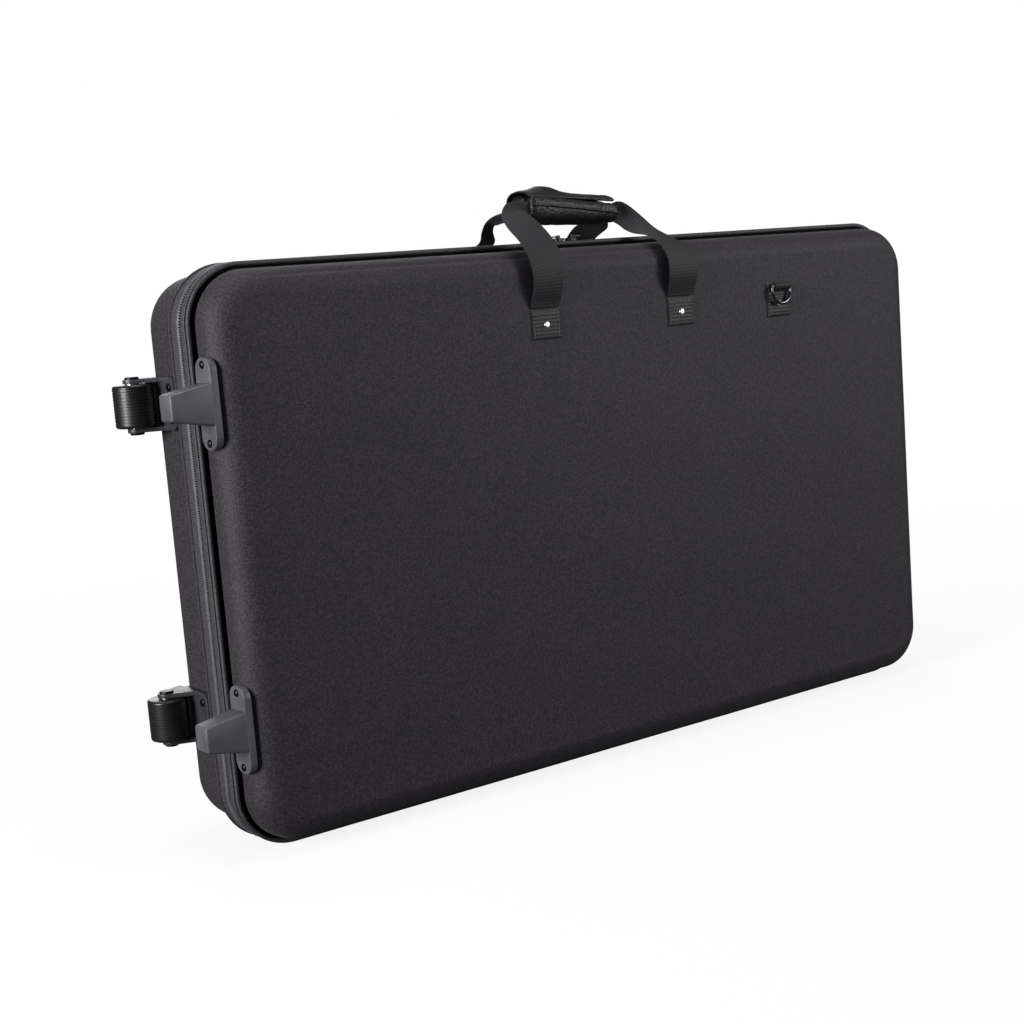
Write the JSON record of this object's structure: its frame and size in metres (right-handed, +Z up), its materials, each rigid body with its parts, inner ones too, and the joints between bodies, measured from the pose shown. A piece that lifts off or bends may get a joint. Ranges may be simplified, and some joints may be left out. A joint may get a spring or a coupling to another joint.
{
  "type": "wheeled soft-shell controller case",
  "caption": "Soft-shell carrying case with a zipped hinged lid, twin webbing handles joined by a padded grip, corner wheels, stand-off feet and a foam cradle inside.",
  "frame": {"origin": "on the ground below the zip line, at the middle of the case's length, on the fold of the lid's hinge", "axes": "+X along the case away from the wheels, +Y from the lid to the base, +Z up with the case standing on its long side"},
  "size_m": [1.0544, 0.1818, 0.6248],
  "materials": {
    "shell_fabric": "knitted polyester over moulded foam, matte",
    "band_fabric": "woven polyester, matte",
    "zip_tape": "woven zip tape",
    "zip_coil": "nylon coil",
    "foam": "open-cell foam",
    "pocket_mesh": "mesh with a bound hem",
    "webbing": "ribbed webbing",
    "patch_fabric": "coated woven fabric, stitched",
    "grip_leatherette": "grained leatherette, slightly shiny",
    "rivet_steel": "bright rivet head",
    "ring_steel": "dark nickel plate",
    "foot_plastic": "moulded, fine texture",
    "bracket_plastic": "moulded, fine texture",
    "wheel_rubber": "ribbed tread, satin",
    "axle_steel": "blackened steel",
    "screw_black": "black zinc",
    "slider_metal": "black enamel"
  },
  "bodies": {
    "base": {"rear_shell": "shell_fabric", "rear_zip_tape": "zip_tape", "rear_zip_coil": "zip_coil", "rear_binding": "band_fabric", "base_hinge_strip": "band_fabric", "base_cradle": "foam", "rear_left_strap_patch": "patch_fabric", "rear_right_strap_patch": "patch_fabric", "rear_ring_tab": "patch_fabric", "base_rivets": "rivet_steel", "upper_wheel_bracket": "bracket_plastic", "lower_wheel_bracket": "bracket_plastic", "bracket_screws": "screw_black", "upper_axle": "axle_steel", "lower_axle": "axle_steel", "tow_handle": "webbing", "upper_tow_patch": "patch_fabric", "lower_tow_patch": "patch_fabric", "tow_rivets": "rivet_steel"},
    "lid": {"front_shell": "shell_fabric", "front_piping": "band_fabric", "front_gusset": "band_fabric", "front_zip_tape": "zip_tape", "front_zip_coil": "zip_coil", "lid_hinge_strip": "band_fabric", "lid_foam": "foam", "cable_pocket": "pocket_mesh", "front_left_strap_patch": "patch_fabric", "front_right_strap_patch": "patch_fabric", "front_ring_tab": "patch_fabric", "lid_rivets": "rivet_steel", "upper_foot": "foot_plastic", "lower_foot": "foot_plastic", "foot_screws": "screw_black"},
    "front_handle": {"front_strap": "webbing", "front_grip_roll": "grip_leatherette"},
    "rear_handle": {"rear_strap": "webbing", "rear_grip_pad": "grip_leatherette"},
    "flap": {"grip_flap": "grip_leatherette"},
    "upper_wheel_body": {"upper_wheel": "wheel_rubber"},
    "lower_wheel_body": {"lower_wheel": "wheel_rubber"},
    "front_ring": {"front_d_ring": "ring_steel"},
    "rear_ring": {"rear_d_ring": "ring_steel"},
    "left_slider_body": {"left_slider": "slider_metal"},
    "right_slider_body": {"right_slider": "slider_metal"},
    "left_tab_body": {"left_pull_tab": "slider_metal"},
    "right_tab_body": {"right_pull_tab": "slider_metal"}
  },
  "joints": [
    {"name": "lid_hinge", "type": "hinge", "parent": "base", "child": "lid", "pos_m": [0, 0, 0], "axis": [1, 0, 0], "range_deg": [0, 170]},
    {"name": "front_handle_swing", "type": "hinge", "parent": "lid", "child": "front_handle", "pos_m": [0, -0.06, 0.5067], "axis": [1, 0, 0], "range_deg": [0, 145]},
    {"name": "rear_handle_swing", "type": "hinge", "parent": "base", "child": "rear_handle", "pos_m": [0, 0.102, 0.5067], "axis": [-1, 0, 0], "range_deg": [0, 145]},
    {"name": "grip_flap_lift", "type": "hinge", "parent": "rear_handle", "child": "flap", "pos_m": [0, 0.0218, 0.6085], "axis": [-1, 0, 0], "range_deg": [0, 140]},
    {"name": "upper_wheel_roll", "type": "hinge", "parent": "base", "child": "upper_wheel_body", "pos_m": [-0.514, 0.07, 0.445], "axis": [0, 0, 1], "continuous": true},
    {"name": "lower_wheel_roll", "type": "hinge", "parent": "base", "child": "lower_wheel_body", "pos_m": [-0.514, 0.07, 0.131], "axis": [0, 0, 1], "continuous": true},
    {"name": "front_ring_swing", "type": "hinge", "parent": "lid", "child": "front_ring", "pos_m": [0.254, -0.0642, 0.5074], "axis": [-1, 0, 0], "range_deg": [0, 170]},
    {"name": "rear_ring_swing", "type": "hinge", "parent": "base", "child": "rear_ring", "pos_m": [-0.254, 0.1062, 0.5074], "axis": [1, 0, 0], "range_deg": [0, 170]},
    {"name": "left_slider_run", "type": "slide", "parent": "base", "child": "left_slider_body", "axis": [-1, 0, 0], "range_m": [0, 0.4]},
    {"name": "right_slider_run", "type": "slide", "parent": "base", "child": "right_slider_body", "axis": [1, 0, 0], "range_m": [0, 0.4]},
    {"name": "left_tab_flip", "type": "hinge", "parent": "left_slider_body", "child": "left_tab_body", "pos_m": [-0.025, 0, 0.5809], "axis": [0, 1, 0], "range_deg": [0, 115]},
    {"name": "right_tab_flip", "type": "hinge", "parent": "right_slider_body", "child": "right_tab_body", "pos_m": [-0.007, 0, 0.5809], "axis": [0, -1, 0], "range_deg": [0, 115]}
  ]
}
